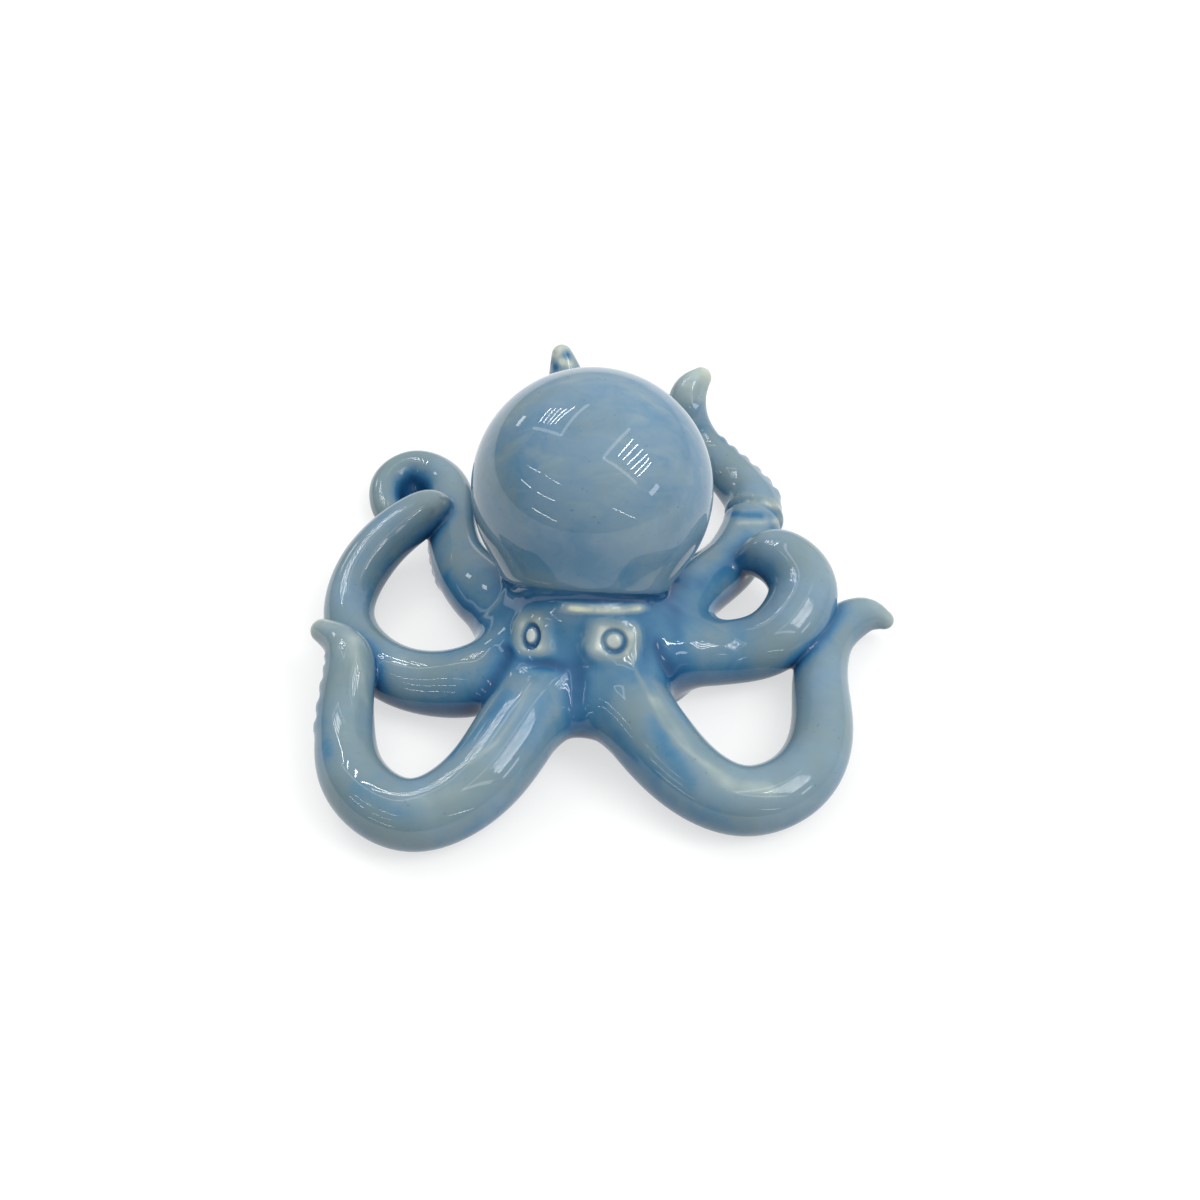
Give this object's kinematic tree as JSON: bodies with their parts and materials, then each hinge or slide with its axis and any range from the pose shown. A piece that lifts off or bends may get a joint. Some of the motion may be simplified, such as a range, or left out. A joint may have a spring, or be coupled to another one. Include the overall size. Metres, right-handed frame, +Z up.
{
  "type": "octopus figurine",
  "caption": "Glazed ceramic octopus ornament with a round leaning mantle, ringed eyes under a rim, and tapered arms curling over the table.",
  "frame": {"origin": "middle of the bounding box, on the table under the ornament", "axes": "+Z up, the longest extent of the spread arms along Y, the face looks along -Y"},
  "size_m": [0.1968, 0.2064, 0.0971],
  "materials": {
    "glaze": "glossy translucent blue glaze, cobalt in the hollows and pale on the ridges, over cream stoneware",
    "eye_glaze": "the same glaze, darker in the pressed ring, pinkish white on the pupil",
    "brow_glaze": "the same glaze broken pale cream on the thin coil"
  },
  "bodies": {
    "root": {"mantle": "glaze", "head": "glaze", "front_left_arm": "glaze", "front_right_arm": "glaze", "mid_left_arm": "glaze", "mid_right_arm": "glaze", "rear_left_arm": "glaze", "rear_right_arm": "glaze", "rear_right_arm_end": "glaze", "back_left_arm": "glaze", "back_right_arm": "glaze", "left_eye": "eye_glaze", "right_eye": "eye_glaze", "brow": "brow_glaze"}
  },
  "joints": []
}
